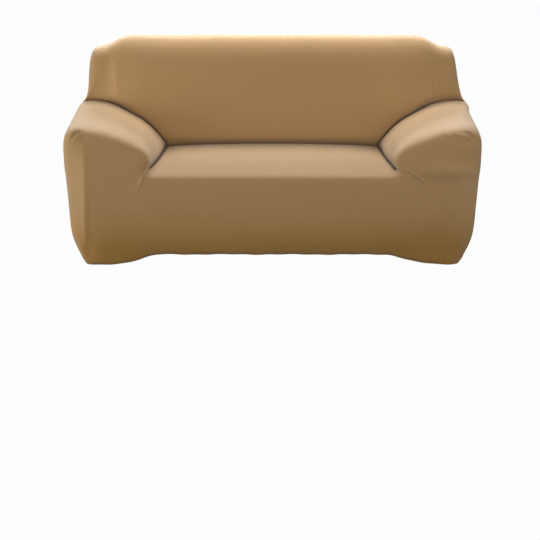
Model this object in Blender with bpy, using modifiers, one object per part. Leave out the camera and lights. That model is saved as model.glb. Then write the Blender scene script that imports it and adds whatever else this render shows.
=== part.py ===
"""Stretch slipcover of a two-seat sofa, in the shape that it takes on the sofa, which is left out.

Metres, +Z up, the front towards -Y and the right-hand arm, seen from the front, towards +X. The outside of
the cover is the skin of a block of cells: a base, two arms and a back, open underneath. The block's points are
placed on the cover's real sizes, the skin is smoothed by a Subdivision Surface and cut along the seams into
five panels, and each panel gets the thickness of the cloth. The origin is the underside of the cloth at the
middle of the top of the back, where the sofa holds the cover up.
"""

import bmesh
import bpy
import numpy as np

# Driving sizes, with heights measured from the floor that the sofa stands on.
HALF_WIDTH = 0.876       # outer side of an arm, from the middle of the cover
FRONT_Y = -0.445         # front of the arms and of the skirt
REAR_Y = 0.450           # rear panel
SEAT_HEIGHT = 0.452      # top of the seat near its front
SEAT_SINK = 0.032        # how much lower the seat is at the back
EDGE_DROP = 0.012        # how much lower the seat is at its front edge
NOSE_DROP = 0.003        # how much lower it is just behind that edge
CREASE_Y = 0.126         # where the seat meets the back
RECLINE = 0.31           # how far the back leans to the rear for each metre of height
BACK_HEIGHT = 0.874      # top of the back at the middle
WING_HEIGHT = 0.824      # top of the back at its two ends
CROWN = 0.010            # how much the seat and the back bulge
CROWN_START = 0.25       # share of the seat's depth over which its bulge begins at the front
TUCK = 0.040             # depth to which the cloth is pushed into the creases
LIP = 0.016              # width of the rounded lip on each side of a crease
CLOTH = 0.002            # thickness of the cloth
SEAM_GAP = 0.0003        # clearance between two panels along a seam
BEHIND_CREASE = 0.060    # how far behind the seat's crease the skirt's line for the back runs
RIDGE_IN = 0.090         # how far in front of the rear panel the last line of the sides runs
RIDGE_SHARE = 0.55       # where the ridge of the top lies between its front and its rear
FACE_DROP = 0.014        # how much lower than its ridge the front edge of the top is
FACE_LEAN = 0.030        # how far behind the slanted face that edge lies
CORNER_CUT = (0.014, 0.042)  # how far the cloth cuts off the upright corners of the front, along x and y
NOSE_CUT = (0.012, 0.010)    # how far it cuts off the front edges of the arm tops, along y and z
REAR_DROP = 0.030        # how much lower the rear edge of the top is
LIP_CORNER = (0.8, 0.5)  # shares of the lip, inwards and up, where the back meets the inner end of an arm

# Lines of the block across half the width, from the outer edge to the middle.
EDGE, SHOULDER, WING, CUSHION, CREASE, INNER_LIP, QUARTER, MIDDLE = range(8)
# Lines from the front to the rear.
FRONT, NOSE, FORWARD, SEAT_MID, BACK_LIP, BACK_FACE, RIDGE, REAR = range(8)
# Lines from the hem up.
HEM, TURN, SKIRT, KNEE, SEAT, SEAT_LIP, ARM_MID, ARM_TOP, WING_LIP, BACK_LOW, BACK_HIGH, BACK_TOP = range(12)
COLUMNS = 2 * MIDDLE + 1

# Skirt: height, and how far the skirt is drawn in at the sides, the front and the rear.
SKIRT_ROWS = {
    # row    height  sides  front  rear
    HEM:    (0.080, 0.040, 0.040, 0.030),
    TURN:   (0.150, 0.014, 0.010, 0.008),
    SKIRT:  (0.250, 0.012, 0.000, 0.000),
    KNEE:   (0.398, 0.006, 0.000, 0.000),
    SEAT:   (SEAT_HEIGHT - EDGE_DROP, 0.002, 0.000, 0.000),
}
# How much lower the hem hangs at each column, over the two ends of the sofa's front.
HEM_DROP = (0.042, 0.048, 0.044, 0.030, 0.000, 0.000, 0.000, 0.000)
# How much of that drop is left along the sides, at each line from the front to the rear.
HEM_DROP_LEFT = (1.0, 0.9, 0.3, 0.0, 0.0, 0.1, 0.6, 1.0)
# Columns of the skirt and of the rear, as shares of the half width.
SKIRT_SHARES = (1.0, 0.885, 0.790, 0.700, 0.605, 0.550, 0.290, 0.0)
BACK_SHARES = (1.0, 0.930, 0.868, 0.810, 0.640, 0.490, 0.245, 0.0)
# Distance from the front of each line of the seat and the arms.
DEPTHS = {FRONT: 0.0, NOSE: 0.065, FORWARD: 0.170, SEAT_MID: 0.370}

# An arm's outline across: half width and height against the back, then the same near the front.
ARM_TOPS = {
    # column    back x, z      front x, z
    EDGE:     (0.886, 0.570, 0.866, 0.598),
    SHOULDER: (0.838, 0.604, 0.808, 0.641),
    WING:     (0.738, 0.599, 0.722, 0.632),
    CUSHION:  (0.662, 0.573, 0.630, 0.611),
    CREASE:   (0.562, 0.525, 0.515, 0.566),
}
ARM_INNER = {
    # row       back x, z      front x, z
    SEAT:     (0.462, 0.420, 0.545, 0.450),
    SEAT_LIP: (0.476, 0.434, 0.530, 0.466),
    ARM_MID:  (0.508, 0.470, 0.501, 0.502),
}
# Heights of the arm's outer side at the same rows.
ARM_OUTER = {SEAT_LIP: 0.464, ARM_MID: 0.508}

# The back above the arms: height at the middle, height at the end, half width and how far the end sits back.
BACK_ROWS = {
    # row        middle  end    width  recess
    WING_LIP:  (0.600, 0.615, 0.842, 0.050),
    BACK_LOW:  (0.700, 0.690, 0.838, 0.044),
    BACK_HIGH: (0.782, 0.752, 0.833, 0.030),
    BACK_TOP:  (BACK_HEIGHT, WING_HEIGHT, 0.818, 0.000),
}
# Share of the recess, and of the drop to the end, that each column has.
RECESS_SHARES = (1.0, 1.0, 0.9, 0.0, 0.0, 0.0, 0.0, 0.0)
DROP_SHARES = (1.0, 1.05, 0.45, 0.0, 0.10, 0.06, 0.02, 0.0)

# Which way each crease is pushed in, as shares of the tuck along x, y and z.
SEAT_TO_BACK = (0.0, 0.7, -0.7)
SEAT_CORNER = (0.5, 0.6, -0.6)
ARM_TO_BACK = (0.5, 0.7, -0.4)
ARM_TOP_TO_BACK = (0.1, 0.6, -0.6)
SEAT_TO_ARM = (0.7, 0.0, -0.7)
NO_CREASE = (0.0, 0.0, 0.0)

# Places where the real cover sits unevenly: a soft push of all that lies within reach of a point.
PUSHES = (
    # what                            point                   reach   push
    ("right wing flares to the arm", (0.870, 0.250, 0.600), 0.110, (0.016, 0.0, 0.0)),
    ("left front corner drawn in",   (-0.840, -0.400, 0.030), 0.085, (0.028, 0.015, -0.008)),
    ("right front corner drawn in",  (0.840, -0.400, 0.030), 0.085, (-0.028, 0.015, -0.008)),
    ("lower right front sits back",  (0.700, -0.440, 0.080), 0.150, (0.0, 0.014, 0.0)),
)

PANELS = ("seat_and_front", "inside_back", "outside_back", "left_arm", "right_arm")
SEAT_PANEL, BACK_PANEL, REAR_PANEL, LEFT_PANEL, RIGHT_PANEL = range(5)


def mix(first, second, share):
    return first + (second - first) * share


def arm_point(column, row, line):
    """Half width and height of a point on an arm's outline, at one line from the front to the back."""
    back_y = CREASE_Y - LIP
    share = min(max((line_y(line) - FRONT_Y) / (back_y - FRONT_Y), 0.0), 1.0)
    if row == ARM_TOP:
        back_x, back_z, front_x, front_z = ARM_TOPS[column]
        return mix(front_x, back_x, share), mix(front_z, back_z, share)
    back_x, back_z, front_x, front_z = ARM_INNER[row]
    inner_x, inner_z = mix(front_x, back_x, 1.0 - (1.0 - share) ** 2), mix(front_z, back_z, share)
    outer_x = HALF_WIDTH
    outer_z = ARM_OUTER.get(row, SEAT_HEIGHT)
    across = (1.0 - SKIRT_SHARES[column]) / (1.0 - SKIRT_SHARES[CREASE])
    return mix(outer_x, inner_x, across), mix(outer_z, inner_z, across)


def line_y(line):
    """Distance from the middle of the sofa's depth of a line of the seat or the arms."""
    if line in DEPTHS:
        return FRONT_Y + DEPTHS[line]
    return CREASE_Y - (LIP if line == BACK_LIP else 0.0)


def seat_height(line, share):
    """Height of the seat, which sinks to the back and is crowned between the arms."""
    depth = (line_y(line) - FRONT_Y) / (CREASE_Y - FRONT_Y)
    height = SEAT_HEIGHT - SEAT_SINK * depth + CROWN * (1.0 - share**2) * min(depth / CROWN_START, 1.0)
    return height - (NOSE_DROP if line == NOSE else 0.0)


def back_y(height):
    return CREASE_Y + RECLINE * (height - (SEAT_HEIGHT - SEAT_SINK))


def skirt_point(column, line, row):
    """A point of the skirt, or of the rear up to the seat's height."""
    height, sides, front, rear = SKIRT_ROWS[row]
    if row == HEM:
        height -= HEM_DROP[column] * HEM_DROP_LEFT[line]
    x = (HALF_WIDTH - sides) * SKIRT_SHARES[column]
    if line < BACK_FACE:
        y = FRONT_Y + front if line == FRONT else line_y(line)
    else:
        y = {BACK_FACE: CREASE_Y + BEHIND_CREASE, RIDGE: REAR_Y - RIDGE_IN, REAR: REAR_Y - rear}[line]
    return x, y, height


def back_point(column, line, row):
    """A point of the back above the arms, from its front face over the top to the rear."""
    middle, end, width, recess = BACK_ROWS[row]
    height = mix(middle, end, DROP_SHARES[column])
    x = width * BACK_SHARES[column]
    if row == WING_LIP and line == BACK_FACE and column <= INNER_LIP:
        arm_x, arm_height = arm_point(min(column, CREASE), ARM_TOP, BACK_LIP)
        x = arm_x if column else width
        height = arm_height + LIP
        if column == INNER_LIP:
            x, height = arm_x - LIP * LIP_CORNER[0], arm_height + LIP * LIP_CORNER[1]
    face_y = back_y(height) + recess * RECESS_SHARES[column] - CROWN * (1.0 - BACK_SHARES[column] ** 2)
    y = {BACK_FACE: face_y, RIDGE: mix(face_y, REAR_Y, RIDGE_SHARE), REAR: REAR_Y}[line]
    if row == BACK_TOP:
        height -= {BACK_FACE: FACE_DROP, RIDGE: 0.0, REAR: REAR_DROP}[line]
        y += FACE_LEAN if line == BACK_FACE else 0.0
    return x, y, height


def rear_point(column, line, row):
    """A point of the rear or of the side behind the arm, between the seat's height and the arm's top."""
    height = arm_point(EDGE, row, BACK_LIP)[1] if row == ARM_TOP else ARM_OUTER[row]
    _, wing_height, wing_width, _ = BACK_ROWS[WING_LIP]
    width = mix(HALF_WIDTH, wing_width, (height - SEAT_HEIGHT) / (wing_height - SEAT_HEIGHT))
    x = width * (SKIRT_SHARES[column] + BACK_SHARES[column]) / 2.0
    return x, REAR_Y if line == REAR else REAR_Y - RIDGE_IN, height


def block_point(column, line, row):
    """Where a point of the block lies, on the right-hand half, before the creases are pushed in."""
    if row < SEAT or (row == SEAT and (line in (FRONT, REAR, RIDGE) or column == EDGE)):
        x, y, z = skirt_point(column, line, row)
        if column == EDGE and line == FRONT and row > HEM:
            return x - CORNER_CUT[0], y + CORNER_CUT[1], z
        if row == SEAT and column == EDGE and line < RIDGE:
            y = line_y(line) if line else y
        return x, y, z
    if row >= WING_LIP:
        return back_point(column, line, row)
    if line > BACK_FACE:
        return rear_point(column, line, row)
    if column > CREASE:
        crease_x, crease_z = arm_point(CREASE, row, line)
        lips = {INNER_LIP: crease_x - LIP, QUARTER: HALF_WIDTH * SKIRT_SHARES[QUARTER], MIDDLE: 0.0}
        x = lips[column]
        if row == SEAT:
            return x, line_y(line), seat_height(line, x / crease_x)
        return x, back_y(crease_z) - CROWN * (1.0 - x / crease_x), crease_z
    x, z = arm_point(column, row, line)
    if line == FRONT and row == ARM_TOP:
        return x, FRONT_Y + NOSE_CUT[0], z - NOSE_CUT[1]
    if line == FRONT and column == EDGE:
        return x - CORNER_CUT[0], FRONT_Y + CORNER_CUT[1], z
    if line < BACK_LIP:
        return x, line_y(line), z
    recess = BACK_ROWS[WING_LIP][3] * RECESS_SHARES[column]
    return x, back_y(z) + recess - (LIP if line == BACK_LIP else 0.0), z


def tuck_of(column, line, row):
    """How a point of a crease is pushed in, as shares of the tuck along x, y and z, on the right-hand half."""
    if line == BACK_FACE and row == SEAT and column >= CREASE:
        return SEAT_TO_BACK if column > CREASE else SEAT_CORNER
    if line == BACK_FACE and column == CREASE and SEAT < row <= ARM_TOP:
        return ARM_TO_BACK
    if line == BACK_FACE and row == ARM_TOP and EDGE < column < CREASE:
        return ARM_TOP_TO_BACK
    if column == CREASE and row == SEAT and FORWARD <= line < BACK_FACE:
        return SEAT_TO_ARM
    return NO_CREASE


def place(i, j, k):
    """Where point (i, j, k) of the block lies."""
    column = min(i, COLUMNS - 1 - i)
    side = 1.0 if i > MIDDLE else -1.0
    point = np.array(block_point(column, j, k))
    point += TUCK * np.array(tuck_of(column, j, k))
    point[0] *= side
    return point


def in_block(i, j, k):
    """Whether a cell is inside the block: the base, the arms or the back."""
    if not (0 <= i < COLUMNS - 1 and 0 <= j < REAR and 0 <= k < BACK_TOP):
        return False
    in_arm = min(i, COLUMNS - 2 - i) < CREASE and k < ARM_TOP
    return k < SEAT or in_arm or j >= BACK_FACE


def panel_of(i, j, k, axis, step):
    """The panel that a face of the skin belongs to, from its cell and the way it faces."""
    side_panel = LEFT_PANEL if i < MIDDLE else RIGHT_PANEL
    if axis == 1:
        if step > 0:
            return REAR_PANEL
        return SEAT_PANEL if j == FRONT else BACK_PANEL
    if axis == 2:
        return {SEAT: SEAT_PANEL, ARM_TOP: side_panel}.get(k + 1, BACK_PANEL)
    return side_panel if k < ARM_TOP else BACK_PANEL


def build_cage():
    """The skin of the block, open underneath, and the number of its point at the middle of the top of the back.

    Each face has its panel as its material index.
    """
    cage = bmesh.new()
    points = {}

    def point(key):
        if key not in points:
            points[key] = cage.verts.new(place(*key))
        return points[key]

    for cell in np.ndindex(COLUMNS - 1, REAR, BACK_TOP):
        if not in_block(*cell):
            continue
        for axis in range(3):
            for step in (-1, 1):
                beside = list(cell)
                beside[axis] += step
                underneath = axis == 2 and step < 0
                if in_block(*beside) or underneath:
                    continue
                across, along = (axis + 1) % 3, (axis + 2) % 3
                corners = []
                for a, b in ((0, 0), (1, 0), (1, 1), (0, 1)):
                    corner = list(cell)
                    corner[axis] += step > 0
                    corner[across] += a
                    corner[along] += b
                    corners.append(point(tuple(corner)))
                face = cage.faces.new(corners if step > 0 else corners[::-1])
                face.material_index = panel_of(*cell, axis, step)
    cage.verts.index_update()
    top = points[(MIDDLE, RIDGE, BACK_TOP)].index
    mesh = bpy.data.meshes.new("skin_cage")
    cage.to_mesh(mesh)
    cage.free()
    return mesh, top


def smoothed(mesh, levels):
    """The mesh after a Subdivision Surface, as points, faces and each face's panel.

    The first points are the mesh's own, moved to the smooth surface.
    """
    guide = bpy.data.objects.new("skin_guide", mesh)
    bpy.context.scene.collection.objects.link(guide)
    surface = guide.modifiers.new("smooth", "SUBSURF")
    surface.levels = surface.render_levels = levels
    bpy.context.view_layer.update()
    evaluated = guide.evaluated_get(bpy.context.evaluated_depsgraph_get())
    fine = bpy.data.meshes.new_from_object(evaluated)
    bpy.data.objects.remove(guide)
    points = np.array([vertex.co for vertex in fine.vertices])
    faces = np.array([face.vertices[:] for face in fine.polygons])
    panels = np.array([face.material_index for face in fine.polygons])
    bpy.data.meshes.remove(fine)
    return points, faces, panels


def pushed(points):
    """The points after the soft pushes that make the cover sit unevenly."""
    for _, centre, reach, push in PUSHES:
        distance = np.linalg.norm(points - np.array(centre), axis=1)
        weight = np.exp(-((distance / reach) ** 2))
        points = points + weight[:, None] * np.array(push)
    return points


def normals_of(points, faces):
    """Vertex normals of the whole skin, which neighbouring panels share along a seam."""
    normals = np.zeros_like(points)
    corners = points[faces]
    face_normals = np.cross(corners[:, 2] - corners[:, 0], corners[:, 3] - corners[:, 1])
    for corner in range(4):
        np.add.at(normals, faces[:, corner], face_normals)
    return normals / np.linalg.norm(normals, axis=1)[:, None]


def border_edges(faces):
    """The edges that only one of the faces has, each in that face's order."""
    edges = {}
    for face in faces:
        for start, end in zip(face, np.roll(face, -1)):
            edges[(start, end)] = True
    return [edge for edge in edges if edge[::-1] not in edges]


def drawn_in(points, normals, borders, distance):
    """The points with the border moved inwards along the surface, square to each border edge."""
    inwards = {}
    for start, end in borders:
        for vertex in (start, end):
            along = points[end] - points[start]
            direction = np.cross(normals[vertex], along)
            inwards.setdefault(vertex, []).append(direction / np.linalg.norm(direction))
    moved = points.copy()
    for vertex, directions in inwards.items():
        first, second = directions[0], directions[-1]
        moved[vertex] += distance * (first + second) / (1.0 + first @ second)
    return moved


def border_walls(borders, used):
    """Two triangles for each border edge, cut along the diagonal that the panel beside it cuts its own along."""
    number = {vertex: place for place, vertex in enumerate(used)}
    count = len(used)
    walls = []
    for start, end in borders:
        first, last = number[start], number[end]
        if start < end:
            walls += [(last, first, last + count), (first, first + count, last + count)]
        else:
            walls += [(last, first, first + count), (last, first + count, last + count)]
    return walls


def build_panel(name, points, normals, faces, collection):
    """One panel as a closed solid: its outside, its inside and a wall round its border."""
    borders = border_edges(faces)
    outside = drawn_in(points, normals, borders, SEAM_GAP / 2.0)
    inside = outside - CLOTH * normals
    used, index = np.unique(faces, return_inverse=True)
    index = index.reshape(faces.shape)
    count = len(used)
    walls = border_walls(borders, used)
    mesh = bpy.data.meshes.new(name)
    mesh.from_pydata(
        np.concatenate([outside[used], inside[used]]).tolist(),
        [],
        index.tolist() + (index[:, ::-1] + count).tolist() + walls,
    )
    mesh.materials.append(cloth_material())
    mesh.shade_smooth()
    panel = bpy.data.objects.new(name, mesh)
    collection.objects.link(panel)
    return panel


def cloth_material():
    """Tan stretch knit."""
    material = bpy.data.materials.get("tan_stretch_knit")
    if material is None:
        material = bpy.data.materials.new("tan_stretch_knit")
        material.use_nodes = True
        shader = material.node_tree.nodes["Principled BSDF"]
        shader.inputs["Base Color"].default_value = (0.392, 0.254, 0.120, 1.0)
        shader.inputs["Roughness"].default_value = 0.85
        shader.inputs["Metallic"].default_value = 0.0
    return material


def clear_scene():
    for leftover in list(bpy.data.objects):
        bpy.data.objects.remove(leftover)


def build_cover():
    clear_scene()
    collection = bpy.data.collections.new("sofa_slipcover")
    bpy.context.scene.collection.children.link(collection)
    cage, top = build_cage()
    points, faces, panels = smoothed(cage, levels=1)
    points = pushed(points)
    normals = normals_of(points, faces)
    origin = points[top] - np.array([0.0, 0.0, CLOTH])
    for number, name in enumerate(PANELS):
        build_panel(name, points - origin, normals, faces[panels == number], collection)


build_cover()
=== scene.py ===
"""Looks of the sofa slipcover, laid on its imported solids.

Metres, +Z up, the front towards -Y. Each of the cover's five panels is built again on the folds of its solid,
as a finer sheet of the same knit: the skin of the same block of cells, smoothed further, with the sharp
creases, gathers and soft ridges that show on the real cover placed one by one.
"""

import math

import bmesh
import bpy
import numpy as np
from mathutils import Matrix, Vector


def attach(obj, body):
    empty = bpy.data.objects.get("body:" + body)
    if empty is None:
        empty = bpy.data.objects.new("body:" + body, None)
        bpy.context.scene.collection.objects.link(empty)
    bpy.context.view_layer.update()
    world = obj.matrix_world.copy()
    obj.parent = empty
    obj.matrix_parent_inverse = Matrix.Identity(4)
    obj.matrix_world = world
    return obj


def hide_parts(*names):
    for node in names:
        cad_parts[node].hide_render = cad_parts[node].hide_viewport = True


bl_info = {
    "name": "Sofa slipcover looks",
    "version": (1, 0, 0),
    "blender": (4, 5, 0),
    "location": "3D View > Sidebar > Slipcover",
    "description": "Builds the knit panels of a stretch slipcover, and its plain studio",
    "category": "Object",
}

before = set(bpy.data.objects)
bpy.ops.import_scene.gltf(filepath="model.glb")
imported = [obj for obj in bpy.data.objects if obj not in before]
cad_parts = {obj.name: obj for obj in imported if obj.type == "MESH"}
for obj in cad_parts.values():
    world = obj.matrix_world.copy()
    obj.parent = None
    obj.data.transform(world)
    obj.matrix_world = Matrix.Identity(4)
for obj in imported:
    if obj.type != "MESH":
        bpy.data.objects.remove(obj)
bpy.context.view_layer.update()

# Driving sizes, with heights measured from the floor.
HALF_WIDTH = 0.870       # outer side of an arm, from the middle of the cover
FRONT_Y = -0.445         # front of the arms and of the skirt
REAR_Y = 0.450           # rear panel
SEAT_HEIGHT = 0.452      # top of the seat near its front
SEAT_SINK = 0.032        # how much lower the seat is at the back
EDGE_DROP = 0.012        # how much lower the seat is at its front edge
NOSE_DROP = 0.009        # how much lower it is just behind that edge
CREASE_Y = 0.126         # where the seat meets the back
RECLINE = 0.31           # how far the back leans to the rear for each metre of height
BACK_HEIGHT = 0.874      # top of the back at the middle
WING_HEIGHT = 0.824      # top of the back at its two ends
CROWN = 0.010            # how much the seat and the back bulge
CROWN_START = 0.25       # share of the seat's depth over which its bulge begins at the front
TUCK = 0.040             # depth to which the cloth is pushed into the creases
LIP = 0.009              # width of the rounded lip on each side of a crease
CLOTH = 0.002            # thickness of the cloth
SEAM_GAP = 0.00005       # clearance between two panels along a seam
BEHIND_CREASE = 0.060    # how far behind the seat's crease the skirt's line for the back runs
RIDGE_IN = 0.090         # how far in front of the rear panel the last line of the sides runs
RIDGE_SHARE = 0.55       # where the ridge of the top lies between its front and its rear
FACE_DROP = 0.014        # how much lower than its ridge the front edge of the top is
FACE_LEAN = 0.030        # how far behind the slanted face that edge lies
CORNER_CUT = (0.014, 0.042)  # how far the cloth cuts off the upright corners of the front, along x and y
NOSE_CUT = (0.008, 0.020)    # how far it cuts off the front edges of the arm tops, along y and z
REAR_DROP = 0.030        # how much lower the rear edge of the top is
LIP_CORNER = (0.8, 0.5)  # shares of the lip, inwards and up, where the back meets the inner end of an arm

# Lines of the block across half the width, from the outer edge to the middle.
EDGE, SHOULDER, WING, CUSHION, CREASE, INNER_LIP, QUARTER, MIDDLE = range(8)
# Lines from the front to the rear.
FRONT, NOSE, FORWARD, SEAT_MID, BACK_LIP, BACK_FACE, RIDGE, REAR = range(8)
# Lines from the hem up.
HEM, TURN, SKIRT, KNEE, SEAT, SEAT_LIP, ARM_MID, ARM_TOP, WING_LIP, BACK_LOW, BACK_HIGH, BACK_TOP = range(12)
COLUMNS = 2 * MIDDLE + 1

# Skirt: height, and how far the skirt is drawn in at the sides, the front and the rear.
SKIRT_ROWS = {
    # row    height  sides  front  rear
    HEM:    (0.080, 0.040, 0.040, 0.030),
    TURN:   (0.150, 0.014, 0.010, 0.008),
    SKIRT:  (0.250, 0.012, 0.000, 0.000),
    KNEE:   (0.398, 0.006, 0.000, 0.000),
    SEAT:   (SEAT_HEIGHT - EDGE_DROP, 0.002, 0.000, 0.000),
}
# How much lower the hem hangs at each column, which shows at the two ends of the front.
HEM_DROP = (0.042, 0.048, 0.044, 0.030, 0.000, 0.000, 0.000, 0.000)
# How much of that drop is left along the sides, at each line from the front to the rear.
HEM_DROP_LEFT = (1.0, 0.9, 0.3, 0.0, 0.0, 0.1, 0.6, 1.0)
# Columns of the skirt and of the rear, as shares of the half width.
SKIRT_SHARES = (1.0, 0.885, 0.790, 0.700, 0.605, 0.550, 0.290, 0.0)
BACK_SHARES = (1.0, 0.930, 0.868, 0.810, 0.640, 0.490, 0.245, 0.0)
# Distance from the front of each line of the seat and the arms.
DEPTHS = {FRONT: 0.0, NOSE: 0.078, FORWARD: 0.170, SEAT_MID: 0.370}

# An arm's outline across: half width and height against the back, then the same near the front.
ARM_TOPS = {
    # column    back x, z      front x, z
    EDGE:     (0.886, 0.576, 0.862, 0.616),
    SHOULDER: (0.838, 0.606, 0.810, 0.645),
    WING:     (0.738, 0.599, 0.722, 0.632),
    CUSHION:  (0.662, 0.573, 0.630, 0.611),
    CREASE:   (0.562, 0.525, 0.515, 0.566),
}
ARM_INNER = {
    # row       back x, z      front x, z
    SEAT:     (0.462, 0.420, 0.545, 0.450),
    SEAT_LIP: (0.476, 0.434, 0.520, 0.464),
    ARM_MID:  (0.508, 0.470, 0.501, 0.502),
}
# Heights of the arm's outer side at the same rows.
ARM_OUTER = {SEAT_LIP: 0.464, ARM_MID: 0.508}

# The back above the arms: height at the middle, height at the end, half width and how far the end sits back.
BACK_ROWS = {
    # row        middle  end    width  recess
    WING_LIP:  (0.600, 0.615, 0.842, 0.050),
    BACK_LOW:  (0.700, 0.690, 0.838, 0.044),
    BACK_HIGH: (0.782, 0.752, 0.833, 0.030),
    BACK_TOP:  (BACK_HEIGHT, WING_HEIGHT, 0.818, 0.000),
}
# Share of the recess, and of the drop to the end, that each column has.
RECESS_SHARES = (1.0, 1.0, 0.9, 0.0, 0.0, 0.0, 0.0, 0.0)
DROP_SHARES = (1.0, 1.05, 0.45, 0.0, 0.10, 0.06, 0.02, 0.0)

# Which way each crease is pushed in, as shares of the tuck along x, y and z.
SEAT_TO_BACK = (0.0, 0.7, -0.7)
SEAT_CORNER = (0.5, 0.6, -0.6)
ARM_TO_BACK = (0.5, 0.7, -0.4)
ARM_TOP_TO_BACK = (0.1, 0.6, -0.6)
SEAT_TO_ARM = (0.7, 0.0, -0.7)
NO_CREASE = (0.0, 0.0, 0.0)

# Places where the real cover sits unevenly: a soft push of all that lies within reach of a point.
PUSHES = (
    # what                            point                   reach   push
    ("right wing flares to the arm", (0.870, 0.250, 0.600), 0.110, (0.016, 0.0, 0.0)),
    ("left front corner drawn in",   (-0.840, -0.400, 0.030), 0.085, (0.028, 0.015, -0.008)),
    ("right front corner drawn in",  (0.840, -0.400, 0.030), 0.085, (-0.028, 0.015, -0.008)),
    ("lower right front sits back",  (0.700, -0.440, 0.080), 0.150, (0.0, 0.014, 0.0)),
)

PANELS = ("seat_and_front", "inside_back", "outside_back", "left_arm", "right_arm")
SEAT_PANEL, BACK_PANEL, REAR_PANEL, LEFT_PANEL, RIGHT_PANEL = range(5)

# Where the skin gets twice as many points each way, for narrow folds: a place and how far round it. Where two
# of them overlap, it is split twice.
FINE_PLACES = (
    ((-0.800, -0.410, 0.610), 0.060),
    ((0.790, -0.410, 0.610), 0.078),
    ((-0.530, -0.425, 0.445), 0.060),
    ((0.570, -0.435, 0.440), 0.066),
    ((-0.800, -0.400, 0.605), 0.045),
    ((0.815, -0.410, 0.605), 0.045),
    ((-0.533, -0.430, 0.440), 0.045),
    ((0.550, -0.438, 0.440), 0.040),
)

# Creases where the cloth is pushed deeper: the two panels that meet, the way in, how deep and how wide, and
# the stretch of the seam along one axis over which the depth comes in.
ALONG_X, ALONG_Y = 0, 1
CREASES = (
    ("seat to back", SEAT_PANEL, BACK_PANEL, (0.0, 0.7, -0.7), 0.014, 0.006, (ALONG_X, 0.62, 0.50)),
    ("foot of the back", SEAT_PANEL, BACK_PANEL, (0.0, 1.0, 0.0), 0.016, 0.032, (ALONG_X, 0.62, 0.50)),
    ("seat to left arm", SEAT_PANEL, LEFT_PANEL, (-0.7, 0.0, -0.7), 0.014, 0.006, (ALONG_Y, -0.30, -0.24)),
    ("seat to right arm", SEAT_PANEL, RIGHT_PANEL, (0.7, 0.0, -0.7), 0.014, 0.006, (ALONG_Y, -0.36, -0.30)),
    ("back to left arm", BACK_PANEL, LEFT_PANEL, (0.3, 0.8, -0.5), 0.016, 0.006, (ALONG_X, 0.79, 0.69)),
    ("back to right arm", BACK_PANEL, RIGHT_PANEL, (-0.3, 0.8, -0.5), 0.016, 0.006, (ALONG_X, 0.79, 0.69)),
    ("foot of left wing", BACK_PANEL, LEFT_PANEL, (0.0, 1.0, 0.0), 0.010, 0.028, (ALONG_X, 0.60, 0.70)),
    ("foot of right wing", BACK_PANEL, RIGHT_PANEL, (0.0, 1.0, 0.0), 0.012, 0.028, (ALONG_X, 0.60, 0.70)),
)
PUSH_REACH = 4.0          # how many widths from its line a crease, or the hem's curl, is worked out
LEAST_CREASE = 0.01       # share of a crease's depth below which it is left out
TUCK_SHADE_REACH = 0.010  # how far from a crease's seam its painted shade reaches
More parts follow.
